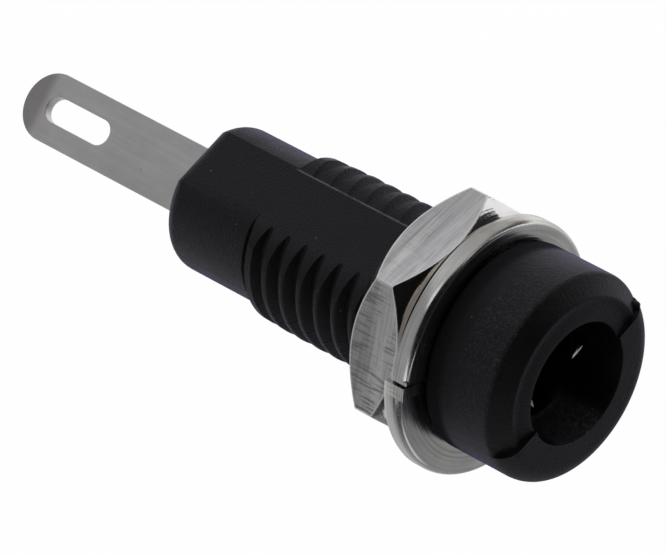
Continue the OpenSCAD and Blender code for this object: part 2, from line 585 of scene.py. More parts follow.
@dataclass(frozen=True)
class MouldedNylon:
    """Black moulded plastic: fine grain, dust specks, the mould's parting line, painted light in the
    mouth and a painted highlight along the upper flat's crease.
    """

    mouth_r: float
    head_r: float
    dark: Colour = (0.0012, 0.0012, 0.0015)
    light: Colour = (0.0032, 0.0031, 0.0038)
    dust: Colour = (0.16, 0.16, 0.17)
    painted_mouth_light: Colour = (0.03, 0.029, 0.03)
    shiny: Colour = (0.06, 0.056, 0.075)
    speck: Colour = (0.022, 0.021, 0.026)
    sheen: Colour = (0.955, 0.95, 1.0)
    roughness: float = 0.42
    gloss: float = 0.335
    soft: float = 0.07
    skin: float = 0.03
    mouth_depth: Span = (-1.75, -2.15)
    mouth_light_across: Span = (0.9, 0.1)
    mouth_light_below: Span = (-1.6, -2.2)
    matt_rear: Span = (-1.15, -0.6)
    matt_out: Span = (4.6, 4.75)
    speck_front: Span = (-1.2, -1.8)
    highlight_x: float = 1.51
    highlight_half: Span = (0.06, 0.024)
    highlight_above: Span = (3.0, 3.1)
    highlight_front: Span = (0.0, 0.2)
    highlight_rear: Span = (12.65, 12.35)
    parting_half: Span = (0.05, 0.0)
    parting_out: Span = (3.1, 3.3)
    depth: float = 0.06

    def make(self) -> Graph:
        """Builds the material."""
        graph = Graph("moulded_nylon")
        x, y, z = graph.x, graph.y, graph.z
        radius = graph.length(x, z)
        cloud = graph.noise(0.55, detail=3.0)
        grain = graph.noise(9.0, detail=3.0)
        fine = graph.noise(26.0, detail=1.0)
        dust = graph.grains(1.9, size=0.075, share=0.16)
        tone = graph.fade(cloud * 0.6 + grain * 0.4, 0.3, 0.72)
        colour = graph.blend(tone, self.dark, self.light)

        inside = graph.fade(radius, self.mouth_r + self.soft, self.mouth_r)
        inside = inside * graph.fade(y, *self.mouth_depth)
        # Painted light: a lighter, grainy patch on the lower wall of the mouth, in front of the
        # sleeve.
        lit = inside * graph.fade(x, *self.mouth_light_across) * graph.fade(z, *self.mouth_light_below)
        lit_wall = graph.blend(graph.fade(grain, 0.25, 0.75), self.dark, self.painted_mouth_light)
        colour = graph.blend(lit, colour, lit_wall)
        # Painted highlight: a patchy lighter line along the crease where the upper flat bends into
        # the round.
        highlight_line = graph.fade(abs(x - self.highlight_x), *self.highlight_half) * graph.fade(z, *self.highlight_above)
        highlight_line = highlight_line * graph.fade(y, *self.highlight_rear) * graph.fade(y, *self.highlight_front)
        patches = graph.fade(grain * 0.5 + cloud * 0.5, 0.3, 0.55)
        colour = graph.blend(highlight_line * patches, colour, self.shiny)
        side_r = self.head_r - self.skin
        side = graph.fade(radius, side_r - self.soft, side_r) * graph.fade(y, *self.speck_front)
        speck = graph.fade(graph.noise(14.0, detail=1.0), 0.5, 0.75) * side
        colour = graph.blend(speck, colour, self.speck)

        rear = graph.fade(y, *self.matt_rear) * graph.fade(radius, *self.matt_out)
        rough = self.roughness + (cloud - 0.5) * 0.22 + (grain - 0.5) * 0.25
        line = graph.fade(abs(z), *self.parting_half) * graph.fade(abs(x), *self.parting_out)
        # The coat has no reflection of its own: it only tints the plastic's sheen.
        inputs = {
            "Base Color": graph.blend(dust, colour, self.dust),
            "Roughness": rough - (inside - lit) * 0.1 + rear * 0.4,
            "Specular IOR Level": self.gloss,
            "Coat Weight": 1.0,
            "Coat IOR": 1.0,
            "Coat Roughness": 0.0,
            "Coat Tint": (*self.sheen, 1.0),
        }
        graph.surface(inputs, grain * 0.6 + fine * 0.4 + dust * 0.4 + line * 0.8, self.depth)
        return graph


@dataclass(frozen=True)
class GlintBurr:
    """A glint painted white on the tin along a short line: middle, angle from X towards Z, half its
    length and its rise along Y.
    """

    middle: Point3
    angle: float
    half: float
    slope: float


@dataclass(frozen=True)
class DullTin:
    """Matt tinned strip: mottled, faintly drawn along its length, with dark spots, painted shade at
    the sleeve's front and painted glints near its slit.
    """

    sleeve_front: float
    sleeve_end: float
    base: Colour = (0.72, 0.7, 0.71)
    pale: Colour = (0.86, 0.845, 0.86)
    spot: Colour = (0.36, 0.345, 0.34)
    shaded: Colour = (0.05, 0.048, 0.045)
    painted_glint: Colour = (1.0, 1.0, 1.0)
    roughness: float = 0.46
    polish: float = 0.32
    polish_reach: float = 2.0
    shaded_depth: Span = (0.5, 0.25)
    tip: Span = (28.3, 28.9)
    tip_share: float = 0.65
    glint_end: float = 0.7
    glint_aside: Span = (0.08, 0.05)
    glint_deep: Span = (0.1, 0.06)
    glint_burrs: Sequence[GlintBurr] = (
        GlintBurr((2.0, -2.17, -1.47), 7.0, 0.42, -0.06),
        GlintBurr((-0.988, -1.91, -1.784), 151.0, 0.22, -1.14),
    )
    depth: float = 0.006

    def make(self) -> Graph:
        """Builds the material."""
        graph = Graph("dull_tin")
        cloud = graph.noise(0.5, detail=3.0)
        drawn = graph.streaks((5.0, 0.25, 5.0), detail=2.0)
        grain = graph.noise(12.0, detail=2.0)
        spots = graph.grains(1.3, size=0.09, share=0.3)
        tone = graph.fade(cloud * 0.5 + drawn * 0.3 + grain * 0.2, 0.32, 0.68)
        colour = graph.blend(spots * 0.6, graph.blend(tone, self.base, self.pale), self.spot)
        # Painted shade: the sleeve's front edge, down in the mouth, is painted dark.
        front = graph.fade(graph.y - self.sleeve_front, *self.shaded_depth)
        colour = graph.blend(front, colour, self.shaded)
        colour = graph.blend(graph.fade(graph.y, *self.tip) * self.tip_share, colour, self.spot)
        # Painted glints: white spots, not metal, where the sleeve's edges catch light.
        glint_burr = self.glint_mask(graph)
        matt = self.roughness + (cloud - 0.5) * 0.14 + (grain - 0.5) * 0.16
        shiny = graph.fade(graph.y, self.sleeve_end + self.polish_reach, self.sleeve_end)
        inputs = {
            "Base Color": graph.blend(glint_burr, colour, self.painted_glint),
            "Metallic": 1.0 - glint_burr,
            "Roughness": matt - shiny * self.polish,
        }
        graph.surface(inputs, grain * 0.5 + drawn * 0.4 - spots * 0.4, self.depth)
        return graph

    def glint_mask(self, graph: Graph) -> Value:
        """A mask that is 1 on the painted glints at the corners of the sleeve's slit."""
        found: Term = 0.0
        for glint_burr in self.glint_burrs:
            (x, y, z), angle = glint_burr.middle, math.radians(glint_burr.angle)
            dx, dz = graph.x - x, graph.z - z
            along = dx * math.cos(angle) + dz * math.sin(angle)
            aside = dz * math.cos(angle) - dx * math.sin(angle)
            deep = graph.y - y - along * glint_burr.slope
            mask = graph.fade(abs(along), glint_burr.half, glint_burr.half * self.glint_end)
            mask = mask * graph.fade(abs(aside), *self.glint_aside)
            mask = mask * graph.fade(abs(deep), *self.glint_deep)
            found = graph.math("MAXIMUM", mask, found)
        return found


@dataclass(frozen=True)
class PlatedSteel:
    """Plated spring steel with fine rings around the washer's middle and a rim that is darker and
    patchy on its +X side.
    """

    middle: Point2
    rim_r: float
    base: Colour = (0.6, 0.605, 0.595)
    pale: Colour = (0.88, 0.88, 0.87)
    dull: Colour = (0.47, 0.43, 0.4)
    roughness: float = 0.22
    rim_inset: Span = (0.12, 0.05)
    rim_side: Span = (-1.0, 2.5)
    lines: Sequence[float] = (4.87, 5.1)
    line_half: Span = (0.05, 0.02)
    ring_count: float = 9.0
    ring_drift: float = 0.3
    depth: float = 0.008

    def make(self) -> Graph:
        """Builds the material."""
        graph = Graph("plated_steel")
        dx, dz = graph.x - self.middle[0], graph.z - self.middle[1]
        radius = graph.length(dx, dz)
        around = graph.joined(
            radius * self.ring_count, graph.y * self.ring_count, dx * self.ring_drift
        )
        rings = graph.noise(1.0, 2.0, around)
        cloud = graph.noise(0.6, detail=3.0)
        pits = graph.grains(2.6, size=0.1, share=0.14)
        tone = graph.fade(rings * 0.6 + cloud * 0.4, 0.3, 0.7)
        plain = graph.blend(tone, self.base, self.pale)
        # The outer rim is darker and patchy on the +X side.
        rim = graph.fade(self.rim_r - radius, *self.rim_inset) * graph.fade(graph.x, *self.rim_side)
        darker = rim * graph.fade(cloud * 0.6 + rings * 0.4, 0.3, 0.6)
        for line in self.lines:
            scratch = graph.fade(abs(radius - line), *self.line_half) * cloud
            darker = graph.math("MAXIMUM", darker, scratch)
        inputs = {
            "Base Color": graph.blend(darker, plain, self.dull),
            "Roughness": self.roughness + (rings - 0.5) * 0.25 + (cloud - 0.5) * 0.15,
            "Metallic": 1.0,
        }
        graph.surface(inputs, rings - pits * 0.7, self.depth)
        return graph


@dataclass(frozen=True)
class BrightNickel:
    """Nickel plating over ground flats: streaks around the nut, short cross marks and pits, with
    painted shade, painted edge highlights and a painted reflection of the washer.
    """

    across: float
    turn: float
    front: float
    rear: float
    face_inset: float
    base: Colour = (0.72, 0.71, 0.75)
    pale: Colour = (1.0, 0.99, 1.0)
    mark: Colour = (0.26, 0.245, 0.24)
    turned: Colour = (0.78, 0.765, 0.77)
    washer_reflection: Colour = (0.66, 0.58, 0.53)
    ground_roughness: float = 0.27
    turned_roughness: float = 0.1
    shade_from: float = 0.8
    shade_to: float = 0.5
    left_side: Span = (-2.4, -2.7)
    right_side: Span = (-1.5, 3.0)
    reflection_deep: Span = (0.5, 0.3)
    reflection_side: Span = (1.0, -1.0)
    corner_half: Span = (0.085, 0.045)
    chamfer_half: Span = (0.085, 0.05)
    flat_inset: Span = (0.05, 0.015)
    groove_count: float = 14.0
    groove_drift: float = 0.4
    depth: float = 0.008

    def make(self) -> Graph:
        """Builds the material."""
        graph = Graph("bright_nickel")
        streaks = graph.streaks((0.3, 6.0, 0.3), detail=3.0)
        hairs = graph.streaks((0.8, 22.0, 0.8), 2.0, offset=(3.0, 5.0, 7.0))
        cross = graph.streaks((9.0, 0.7, 9.0), 1.0, offset=(9.0, 1.0, 4.0))
        broad = graph.streaks((0.12, 3.6, 0.12), 1.0, offset=(2.0, 3.0, 1.0))
        cloud = graph.noise(0.5, detail=3.0)
        pits = graph.grains(2.2, size=0.11, share=0.2)
        flat, edge = self.on_flats(graph)

        # Painted shade: the lower-left flat is darker, most towards its rear, and the flats darken
        # towards +X; the broad bands near the rear are marks.
        shade = graph.fade(graph.y, self.front + self.shade_from, self.rear - self.shade_to)
        left = graph.fade(graph.x, *self.left_side)
        right = graph.fade(graph.x, *self.right_side)
        worn = graph.fade(cross, 0.48, 0.66) * graph.fade(cloud + shade * 0.16, 0.4, 0.58)
        bands = shade * graph.fade(broad, 0.38, 0.6) * 0.5
        deep = left * (0.18 + shade * 0.4) + right * 0.24 + (1.0 - left) * bands
        dark = graph.fade(hairs, 0.6, 0.7) * 0.5 + pits * 0.6 + worn * (left * 0.6 + 0.15)
        tone = graph.fade(streaks * 0.6 + hairs * 0.2 + cloud * 0.2, 0.36, 0.62)
        ground = graph.blend(deep, graph.blend(tone, self.base, self.pale), self.mark)
        # Painted highlight: the edges of the flats are painted pale.
        ground = graph.blend(edge, graph.blend(dark, ground, self.mark), self.pale)
        # Painted reflection: the front face and chamfer on the -X side take the brownish colour of
        # the washer they face.
        darker = graph.fade(graph.y - self.front, *self.reflection_deep)
        darker = darker * graph.fade(graph.x, *self.reflection_side)
        turned = graph.blend(darker, self.turned, self.washer_reflection)

        rough = self.ground_roughness + (streaks - 0.5) * 0.25 + (hairs - 0.5) * 0.12
        smooth = self.turned_roughness + (cloud - 0.5) * 0.06
        around = graph.joined(
            graph.length(graph.x, graph.z) * self.groove_count,
            graph.x * self.groove_drift,
            graph.z * self.groove_drift,
        )
        grooves = graph.noise(1.0, 2.0, around) * 0.6
        scratches = streaks * 0.5 + hairs * 0.5 - pits * 0.8 - worn * 0.3
        inputs = {
            "Base Color": graph.blend(flat, turned, ground),
            "Roughness": smooth + (rough - smooth) * flat,
            "Metallic": 1.0,
        }
        graph.surface(inputs, grooves + (scratches - grooves) * flat, self.depth)
        return graph

    def on_flats(self, graph: Graph) -> tuple[Value, Value]:
        """Finds the ground flats and the edges that are painted pale as a highlight.

        Args:
            graph: Material to work in.

        Returns:
            A mask that is 1 on the six flats and 0 on the turned chamfers and faces, and one that
            is 1 along the edges of the flats.
        """
        out: Term = 0.0
        corner: Term = self.across
        for side in range(3):
            angle = math.radians(self.turn + 30.0 + 60.0 * side)
            away = abs(graph.x * math.cos(angle) + graph.z * math.sin(angle))
            out = graph.math("MAXIMUM", away, out)
            corner = graph.math("MINIMUM", away, corner)
        past = graph.length(graph.x, graph.z) - (self.across / 2 - self.face_inset)
        ends = graph.math("MINIMUM", graph.y - self.front, self.rear - graph.y)
        corners = graph.fade(corner, *self.corner_half)
        chamfers = graph.fade(ends - past, *self.chamfer_half)
        flat = graph.fade(self.across / 2 - out, *self.flat_inset)
        return flat, graph.math("MAXIMUM", corners, chamfers)


def two_flat_bar(name: str, radius: float, edge: Point2, reach: Point2) -> bpy.types.Object:
    """A round bar along Y with two flats, which run gently into its round sides.

    Args:
        name: Name of the new piece.
        radius: Radius of the round sides.
        edge: Where each flat begins to bend: its distance from the middle and its height.
        reach: Where the bar begins and ends.

    Returns:
        The bar.
    """
    x, z = edge
    front, rear = reach
    bend = (radius**2 - x**2 - z**2) / (2 * (radius - z))
    meet = math.degrees(math.atan2(z - bend, x))
    corner = arc((x, z - bend), bend, 90, meet, 16)
    side = arc((0.0, 0.0), radius, meet, -meet, 16)[1:-1]
    right = [*corner, *side, *[(a, -b) for a, b in reversed(corner)]]
    outline = [*right, *[(-a, -b) for a, b in right]]
    return Bench.prism(name, [(a, rear, b) for a, b in outline], (0, front - rear, 0))


@dataclass
class ScrewThread:
    """The right-handed thread that the stem and the nut share."""

    crest_r: float = 3.95
    root_r: float = 3.46
    pitch: float = 1.058
    turns: int = 11
    first: float = 0.8455
    start_angle: float = -90.0
    buried: float = 0.15
    steps: int = 96
    flank: Sequence[Point2] = (
        (0.0, 0.495),
        (0.012, 0.455),
        (0.05, 0.41),
        (0.385, 0.214),
        (0.437, 0.177),
        (0.47, 0.137),
        (0.486, 0.085),
        (0.49, 0.03),
    )
    run_in: Sequence[Point2] = ((3.96, 9.85), (3.88, 11.85), (3.84, 12.85))
    flat_edge: Point2 = (1.52, 3.125)
    clear: float = 0.02

    def ridge(self, name: str, play: float) -> bpy.types.Object:
        """Winds the ridge.

        Args:
            name: Name of the new piece.
            play: Amount by which all radii grow, for the nut.

        Returns:
            The ridge as a closed solid.
        """
        floor = self.root_r + play
        rear = [(floor + up, self.first + half) for up, half in self.flank]
        front = [(floor + up, self.first - half) for up, half in reversed(self.flank)]
        foot_half = self.flank[0][1]
        foot = [(floor - self.buried, self.first + side * foot_half) for side in (-1, 1)]
        rise, steps = self.pitch * self.turns, self.steps * self.turns
        coil = Bench.coil(name, [*rear, *front, *foot], rise, self.turns, steps)
        Bench.turn(coil, self.start_angle)
        return coil

    def stem_ridge(self) -> bpy.types.Object:
        """The ridge on the stem, whose last turns are lower than the others."""
        coil = self.ridge("stem_thread", 0.0)
        front = (self.run_in[0][0], 0.0)
        rear = self.run_in[-1][1]
        envelope = Bench.lathe("run_in", [(0.0, 0.0), front, *self.run_in, (0.0, rear)], False)
        Bench.combine(coil, envelope, Join.KEEP)
        bar = two_flat_bar("ridge_bar", self.crest_r + self.clear, self.flat_edge, (0.0, rear))
        Bench.combine(coil, bar, Join.KEEP)
        return coil


@dataclass
class InsulatedBody:
    """Moulded body: head with a two-level rim, threaded stem with two flats and a plain barrel."""

    thread: ScrewThread
    head_r: float = 4.9
    head_edge: float = 0.15
    mouth_r: float = 2.86
    rim_low: float = -4.33
    rim_high: float = -4.45
    rim_edge: float = 1.0
    high_edge: float = 0.03
    mouth_edge: float = 0.1
    ring: Sequence[Point2] = (
        (3.1, -4.315),
        (3.35, -4.275),
        (3.55, -4.24),
        (3.68, -4.228),
        (3.78, -4.236),
        (3.88, -4.262),
        (3.96, -4.282),
        (4.02, -4.288),
        (4.07, -4.272),
        (4.1, -4.245),
    )
    brow: float = -3.434
    brow_edge: float = 0.3
    brow_slope: float = 40.0
    seat_front: float = -2.15
    seat_r: float = 2.58
    barrel_r: float = 3.5
    barrel_start: float = 12.45
    neck: Point2 = (3.34, 12.15)
    neck_edge: float = 0.06
    neck_slope: float = 0.05
    barrel_edge: float = 0.8
    pocket_end: float = 15.55
    end: float = 17.55
    flat: float = 3.125
    soft_edge: Point2 = (1.0, 3.13)
    sharp_from: float = 0.3
    slit_half: Point2 = (1.68, 0.28)
    slit_turn: float = 24.0
    skin: float = 0.004
    flash: Point3 = (4.56, -3.95, 0.05)
    flash_size: Point3 = (0.22, 0.24, 0.15)
    clear: float = 0.01
    lap: float = 0.1
    past_side: float = 6.0
    past_end: float = 20.0
    crease: float = 32.0
    piece: bpy.types.Object = field(init=False)

    def build(self) -> None:
        """Turns the body, winds its thread, cuts the flats and raises half of the rim."""
        lip, brow, edge = self.mouth_edge, self.brow_edge, self.barrel_edge
        back, nick = self.head_edge, self.neck_edge
        section = [
            (0.0, self.pocket_end),
            (self.seat_r, self.pocket_end),
            (self.seat_r, self.seat_front),
            (self.mouth_r, self.seat_front),
            *arc((self.mouth_r + lip, self.rim_low + lip), lip, 180, 270, 6),
            *self.ring,
            *arc((self.head_r - brow, self.brow), brow, 270 + self.brow_slope, 360, 16),
            *arc((self.head_r - back, -back), back, 0, 90, 4),
            (self.thread.root_r, 0.0),
            (self.thread.root_r, self.neck[1] - nick),
            (self.neck[0], self.neck[1]),
            (self.neck[0], self.barrel_start - self.neck_slope),
            (self.barrel_r - nick, self.barrel_start),
            (self.barrel_r, self.barrel_start + nick),
            *arc((self.barrel_r - edge, self.end - edge), edge, 0, 90, 12),
            (0.0, self.end),
        ]
        self.piece = Bench.lathe("insulated_body_moulding", section, False)
        Bench.combine(self.piece, self.soft_barrel(), Join.KEEP)
        Bench.combine(self.piece, self.thread.stem_ridge(), Join.ADD)
        for side in (1, -1):
            Bench.combine(self.piece, self.flat_cutter(side), Join.CUT)
        Bench.combine(self.piece, self.raised_half(), Join.ADD)
        nib = Bench.crumb("flash_nib", self.flash, self.flash_size, segments=16)
        Bench.combine(self.piece, nib, Join.ADD)
        wide, high = self.slit_half
        slit = Bench.block(
            "lug_slit",
            (-wide, self.pocket_end - self.lap, -high),
            (wide, self.past_end, high),
        )
        Bench.turn(slit, self.slit_turn)
        Bench.combine(self.piece, slit, Join.CUT)
        Bench.hand_over(self.piece, self.crease, "insulated_body", "body_nylon")

    def soft_barrel(self) -> bpy.types.Object:
        """The space that the body keeps to: on -X the barrel's flats run gently into its side."""
        far, start = self.past_side, self.barrel_start
        reach = (start - 2 * self.lap, self.past_end)
        bar = two_flat_bar("barrel_bar", self.barrel_r + self.clear, self.soft_edge, reach)
        rear = start - 2 * self.clear
        room = Bench.lathe("stem_room", oblong(0.0, far, self.rim_low - self.lap, rear), False)
        Bench.combine(bar, room, Join.ADD)
        low = (self.sharp_from, rear - self.lap, -far)
        sharp = Bench.block("sharp_side", low, (far, self.past_end + self.lap, far))
        Bench.combine(bar, sharp, Join.ADD)
        return bar

    def flat_cutter(self, side: int) -> bpy.types.Object:
        """The space beyond one flat, which rounds over at the rear end.

        Args:
            side: 1 for the upper flat, -1 for the lower one.

        Returns:
            The cutter.
        """
        edge, far = self.barrel_edge, self.past_side
        outline = [
            (self.clear, self.flat),
            *arc((self.end - edge, self.flat - edge), edge, 90, 0, 12),
            (self.past_end, self.flat - edge),
            (self.past_end, far),
            (self.clear, far),
        ]
        points = [(-far, y, side * z) for y, z in outline]
        return Bench.prism("flat_cutter", points, (2 * far, 0, 0))

    def raised_half(self) -> bpy.types.Object:
        """The half of the rim below the parting plane, which stands higher and has one round edge."""
        inner, outer = self.mouth_r + self.skin, self.head_r - self.skin
        edge, rear = self.rim_edge, self.seat_front - self.lap
        section = [
            (inner, self.rim_high + self.high_edge),
            (inner + self.high_edge, self.rim_high),
            *arc((outer - edge, self.rim_high + edge), edge, 270, 360, 14),
            (outer, rear),
            (inner, rear),
        ]
        half = Bench.lathe("raised_half", section, True, 180.0, steps=72)
        Bench.turn(half, 180.0)
        return half

    def dress(self) -> None:
        """Gives the body its plastic."""
        MouldedNylon(self.mouth_r, self.head_r).make().coat(self.piece)


@dataclass
class SpringContact:
    """Formed contact: an open sleeve that runs out into a flat solder lug with an oblong eye."""

    stock: float = 0.5
    bore_r: float = 2.05
    front: float = -2.15
    sleeve_end: float = 10.25
    sleeve_roll: float = 0.06
    slit: float = 52.0
    tongue_step: float = 0.2
    tongue_skin: float = 0.005
    lap: float = 0.2
    tail_start: float = 11.15
    tail_end: float = 13.55
    lug_end: float = 29.7
    lug_half: float = 1.65
    eye: Point2 = (24.37, 28.37)
    eye_half: float = 0.62
    lug_turn: float = 24.0
    lug_roll: float = 0.07
    sliver: tuple[Point3, Point3] = ((1.6, -2.15, -1.52), (2.42, -2.2, -1.42))
    sliver_r: float = 0.04
    crease: float = 38.0
    piece: bpy.types.Object = field(init=False)

    @property
    def tail_height(self) -> float:
        """Height of the strip where it leaves the round wall."""
        return math.sqrt((self.bore_r + self.stock / 2) ** 2 - self.lug_half**2)

    def build(self) -> None:
        """Shapes the lug, slopes its tail up to the sleeve and joins the three."""
        self.piece = self.lug()
        out, end = self.bore_r + self.stock, self.sleeve_end
        wall = oblong(self.bore_r, out, self.front, end)
        sleeve = Bench.lathe("contact_sleeve", wall, True, 360.0 - self.slit, steps=112)
        Bench.turn(sleeve, self.slit / 2 - 90.0)
        Bench.soften(sleeve, self.sleeve_roll, segments=2, angle=40.0)
        inner, outer = self.bore_r + self.tongue_step, out - self.tongue_skin
        wall = oblong(inner, outer, end - self.lap, self.tail_start)
        angle = 2 * math.degrees(math.asin(self.lug_half / out))
        tongue = Bench.lathe("contact_tongue", wall, True, angle, steps=28)
        Bench.turn(tongue, 90.0 - angle / 2)
        Bench.combine(self.piece, tongue, Join.ADD)
        Bench.combine(self.piece, sleeve, Join.ADD)
        Bench.turn(self.piece, self.lug_turn)
        Bench.combine(self.piece, self.glint_burr(), Join.ADD)
        Bench.hand_over(self.piece, self.crease, "contact", "contact_tinned")

    def glint_burr(self) -> bpy.types.Object:
        """A sliver of metal that the cut left at one corner of the sleeve's slit; the tin paints a
        glint on it.
        """
        tail, head = (Vector(end) for end in self.sliver)
        along = head - tail
        size = (along.length / 2, self.sliver_r, self.sliver_r)
        turn = along.to_track_quat("X", "Z").to_euler()
        return Bench.crumb("contact_glint_burr", (tail + head) / 2, size, 12, turn)

    def lug(self) -> bpy.types.Object:
        """The flat lug with its round tip, rolled edges and sloping tail."""
        wide, slot, thick = self.lug_half, self.eye_half, self.stock
        outline = [
            (wide, self.tail_end),
            *arc((0.0, self.lug_end - wide), wide, 0, 180, 32),
            (-wide, self.tail_end),
        ]
        strip = Bench.prism("contact_strip", [(x, y, -thick / 2) for x, y in outline], (0, 0, thick))
        outline = [
            *arc((0.0, self.eye[1] - slot), slot, 0, 180, 20),
            *arc((0.0, self.eye[0] + slot), slot, 180, 360, 20),
        ]
        eye = Bench.prism("contact_eye", [(x, y, -thick) for x, y in outline], (0, 0, 2 * thick))
        Bench.combine(strip, eye, Join.CUT)
        Bench.pick_bare(strip)
        for side in strip.data.polygons:
            faces_front = side.normal.y < -0.9
            side.select = faces_front and side.center.y < self.tail_end + self.lap
        bpy.ops.object.mode_set(mode="EDIT")
        root = self.sleeve_end + (self.tail_start - self.sleeve_end) / 4
        slope = (0, self.tail_start - self.tail_end, self.tail_height)
        for step in (slope, (0, root - self.tail_start, 0)):
            bpy.ops.mesh.extrude_region_move(TRANSFORM_OT_translate={"value": step})
        bpy.ops.object.mode_set(mode="OBJECT")
        Bench.soften(strip, self.lug_roll, segments=3, angle=50.0)
        return strip

    def dress(self) -> None:
        """Gives the contact its tin."""
        DullTin(self.front, self.sleeve_end).make().coat(self.piece)


@dataclass
class LockWasher:
    """Split spring washer: it leans on the stem, and one of its two sharp ends springs forward."""

    bore_r: float = 4.35
    rim_r: float = 6.025
    thick: float = 0.87
    front: float = 0.277
    slit: float = 0.16
    slit_angle: float = 146.6
    middle: Point2 = (-0.243, -0.239)
    lean: Point2 = (0.0078, 0.0067)
    spring: float = 0.195
    spring_reach: float = 10.0
    press: float = 0.17
    press_reach: float = 4.0
    worn_edge: Point2 = (0.22, 0.4)
    sharp_ends: Point2 = (1.6, 6.2)
    edge: float = 0.025
    swell: float = 0.24
    crease: float = 28.0
    piece: bpy.types.Object = field(init=False)

    @property
    def gap(self) -> float:
        """Angle of the slit in degrees."""
        return 2 * math.degrees(self.slit / (self.bore_r + self.rim_r))

    def build(self) -> None:
        """Bends the ring, leaves its ends square, springs one forward and hangs it off centre."""
        square = (self.edge, self.edge)
        near_turn, far_turn = self.sharp_ends
        self.piece = self.bar("lock_washer_ring", self.worn_edge, 360 - self.gap, steps=180)
        near = self.bar("near_end", square, near_turn, steps=2)
        Bench.combine(self.piece, near, Join.ADD)
        far = self.bar("far_end", square, far_turn, steps=4, swell=self.swell)
        Bench.turn(far, far_turn - 360 + self.gap)
        Bench.combine(self.piece, far, Join.ADD)
        self.bend_end(0.0, -self.spring, self.spring_reach)
        self.bend_end(self.gap, self.press, self.press_reach)
        Bench.turn(self.piece, self.slit_angle - self.gap / 2)
        self.piece.rotation_euler = (self.lean[0], 0.0, self.lean[1])
        self.piece.location = (self.middle[0], 0.0, self.middle[1])
        Bench.settle()
        Bench.hand_over(self.piece, self.crease, "lock_washer", "washer_plated")

    def bar(
        self, name: str, worn: Point2, turn: float, steps: int, swell: float = 0.0
    ) -> bpy.types.Object:
        """A length of the washer's bar, bent from the +X side towards -Z.

        Args:
            name: Name of the new piece.
            worn: How far the front outer edge is rounded, along the radius and along the axis.
            turn: Angle of the bend in degrees.
            steps: Number of faces along it.
            swell: How much thicker it is at the front.

        Returns:
            The closed solid.
        """
        low, high, e = self.front - swell, self.front + self.thick, self.edge
        inset, deep = worn
        edge = [
            (self.rim_r - inset + inset * x, low + deep + deep * y)
            for x, y in arc((0.0, 0.0), 1.0, 270, 360, 8)
        ]
        section = [
            (self.bore_r + e, low),
            *edge,
            (self.rim_r, high - 2 * e),
            (self.rim_r - e / 2, high - e / 2),
            (self.rim_r - 2 * e, high),
            (self.bore_r + e, high),
            (self.bore_r, high - e),
            (self.bore_r, low + e),
        ]
        return Bench.coil(name, section, 0.0, turn / 360, steps)

    def bend_end(self, angle: float, push: float, reach: float) -> None:
        """Pushes one end along the axis, and the ring behind it less and less.

        Args:
            angle: Where the end lies, in degrees from +X towards +Z.
            push: Distance of the push.
            reach: Length of ring that moves with the end.
        """
        Bench.pick_bare(self.piece)
        cos, sin = math.cos(math.radians(angle)), math.sin(math.radians(angle))
        for point in self.piece.data.vertices:
            aside = point.co.z * cos - point.co.x * sin
            point.select = point.co.x > 0 and abs(aside) < SAME_POINT
        bpy.ops.object.mode_set(mode="EDIT")
        bpy.ops.transform.translate(
            value=(0, push, 0),
            use_proportional_edit=True,
            proportional_edit_falloff="SMOOTH",
            proportional_size=reach,
            use_proportional_connected=True,
        )
        bpy.ops.object.mode_set(mode="OBJECT")

    def dress(self) -> None:
        """Gives the washer its plating."""
        PlatedSteel(self.middle, self.rim_r).make().coat(self.piece)


